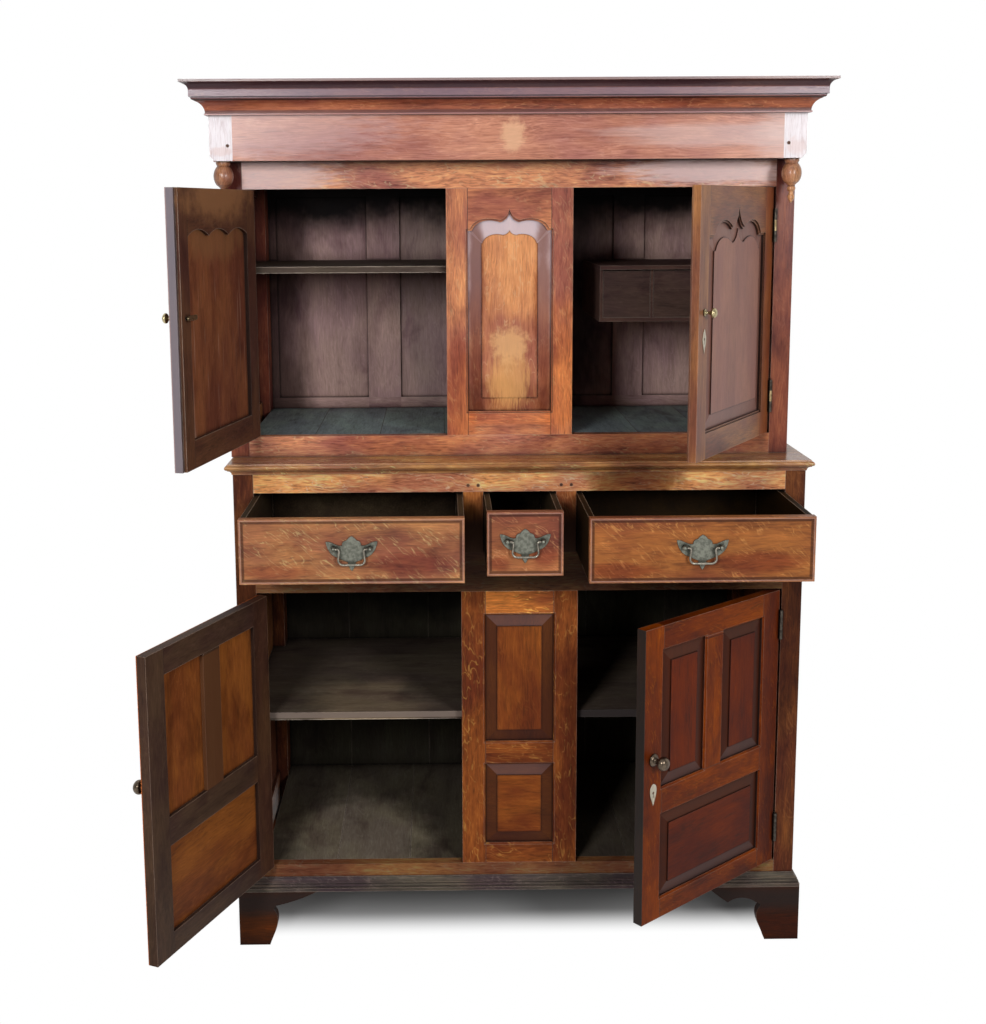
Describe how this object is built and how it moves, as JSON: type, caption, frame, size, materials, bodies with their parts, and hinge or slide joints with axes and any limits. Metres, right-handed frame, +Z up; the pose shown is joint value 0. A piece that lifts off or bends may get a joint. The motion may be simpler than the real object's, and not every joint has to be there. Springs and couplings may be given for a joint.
{
  "type": "court cupboard",
  "caption": "Two-stage oak court cupboard with framed doors on butt hinges, fixed fielded bays, frieze drawers with swan bails, an inner nest of drawers and a pendant canopy.",
  "frame": {"origin": "on the floor, under the middle of the lower stage's front face", "axes": "+Z up, +Y from the front to the back, +X to the right seen from the front"},
  "size_m": [1.4387, 1.0025, 1.93],
  "materials": {
    "front_oak": "waxed, satin",
    "panel_oak": "waxed, satin",
    "side_oak": "waxed, satin",
    "dark_oak": "waxed, worn",
    "inner_oak": "dry, matt",
    "drawer_oak": "dry, matt",
    "turned_oak": "waxed, satin",
    "old_brass": "tarnished",
    "bright_brass": "rubbed",
    "iron": "dark, worn",
    "bone": "yellowed"
  },
  "bodies": {
    "carcase": {"lower_posts": "front_oak", "lower_rails": "front_oak", "drawer_muntins": "front_oak", "lower_bay_frame": "front_oak", "lower_bay_panels": "panel_oak", "lower_side_frames": "side_oak", "lower_back_boards": "inner_oak", "lower_floor_boards": "inner_oak", "shelves": "inner_oak", "drawer_runners": "inner_oak", "counter_top": "front_oak", "base_moulding": "dark_oak", "bracket_feet": "dark_oak", "upper_posts": "front_oak", "upper_rails": "front_oak", "upper_bay_frame": "front_oak", "upper_bay_panel": "panel_oak", "upper_side_frames": "side_oak", "upper_back": "inner_oak", "upper_floor_boards": "inner_oak", "nest_case": "inner_oak", "canopy_posts": "front_oak", "frieze_rails": "front_oak", "canopy_boards": "inner_oak", "cornice_moulding": "front_oak", "pendants": "turned_oak", "post_hinges": "iron", "frame_pegs": "turned_oak"},
    "upper_left_door": {"upper_left_door_frame": "front_oak", "upper_left_door_panel": "panel_oak", "upper_left_door_hinges": "iron"},
    "upper_left_catch": {"upper_left_door_catch": "bright_brass"},
    "upper_right_door": {"upper_right_door_frame": "front_oak", "upper_right_door_panel": "panel_oak", "upper_right_door_hinges": "iron", "upper_right_door_knob": "bright_brass", "upper_escutcheon": "bone"},
    "lower_left_door": {"lower_left_door_frame": "front_oak", "lower_left_door_panels": "panel_oak", "lower_left_door_hinges": "iron", "lower_left_door_knob": "turned_oak"},
    "lower_right_door": {"lower_right_door_frame": "front_oak", "lower_right_door_panels": "panel_oak", "lower_right_door_hinges": "iron", "lower_right_door_knob": "turned_oak", "lower_escutcheon": "bone"},
    "left_drawer": {"left_drawer_front": "front_oak", "left_drawer_box": "drawer_oak", "left_handle_plate": "old_brass"},
    "centre_drawer": {"centre_drawer_front": "front_oak", "centre_drawer_box": "drawer_oak", "centre_handle_plate": "old_brass"},
    "right_drawer": {"right_drawer_front": "front_oak", "right_drawer_box": "drawer_oak", "right_handle_plate": "old_brass"},
    "left_drawer_bail": {"left_bail": "old_brass"},
    "centre_drawer_bail": {"centre_bail": "old_brass"},
    "right_drawer_bail": {"right_bail": "old_brass"},
    "nest_left_drawer": {"nest_drawer_left": "drawer_oak"},
    "nest_right_drawer": {"nest_drawer_right": "drawer_oak"}
  },
  "joints": [
    {"name": "upper_left_door_hinge", "type": "hinge", "parent": "carcase", "child": "upper_left_door", "pos_m": [-0.598, 0.0787, 1.436], "axis": [0, 0, -1], "range_deg": [-101.5, 3.5]},
    {"name": "upper_right_door_hinge", "type": "hinge", "parent": "carcase", "child": "upper_right_door", "pos_m": [0.562, 0.0787, 1.436], "axis": [0, 0, 1], "range_deg": [-58.5, 46.5]},
    {"name": "lower_left_door_hinge", "type": "hinge", "parent": "carcase", "child": "lower_left_door", "pos_m": [-0.581, -0.0043, 0.505], "axis": [0, 0, -1], "range_deg": [-113.5, 56.5]},
    {"name": "lower_right_door_hinge", "type": "hinge", "parent": "carcase", "child": "lower_right_door", "pos_m": [0.581, -0.0043, 0.505], "axis": [0, 0, 1], "range_deg": [-40.5, 129.5]},
    {"name": "upper_left_catch_turn", "type": "hinge", "parent": "upper_left_door", "child": "upper_left_catch", "pos_m": [-0.67533, -0.32295, 1.46], "axis": [-0.9799, 0.1994, 0], "range_deg": [0, 180]},
    {"name": "left_drawer_slide", "type": "slide", "parent": "carcase", "child": "left_drawer", "axis": [0, -1, 0], "range_m": [-0.248, 0.112]},
    {"name": "left_bail_swing", "type": "hinge", "parent": "left_drawer", "child": "left_drawer_bail", "pos_m": [-0.353, -0.2571, 0.989], "axis": [-1, 0, 0], "range_deg": [0, 80]},
    {"name": "centre_drawer_slide", "type": "slide", "parent": "carcase", "child": "centre_drawer", "axis": [0, -1, 0], "range_m": [-0.198, 0.162]},
    {"name": "centre_bail_swing", "type": "hinge", "parent": "centre_drawer", "child": "centre_drawer_bail", "pos_m": [0, -0.2071, 0.989], "axis": [-1, 0, 0], "range_deg": [0, 80]},
    {"name": "right_drawer_slide", "type": "slide", "parent": "carcase", "child": "right_drawer", "axis": [0, -1, 0], "range_m": [-0.26, 0.1]},
    {"name": "right_bail_swing", "type": "hinge", "parent": "right_drawer", "child": "right_drawer_bail", "pos_m": [0.353, -0.2691, 0.989], "axis": [-1, 0, 0], "range_deg": [0, 80]},
    {"name": "nest_left_drawer_slide", "type": "slide", "parent": "carcase", "child": "nest_left_drawer", "axis": [0, -1, 0], "range_m": [0, 0.2]},
    {"name": "nest_right_drawer_slide", "type": "slide", "parent": "carcase", "child": "nest_right_drawer", "axis": [0, -1, 0], "range_m": [0, 0.2]}
  ]
}
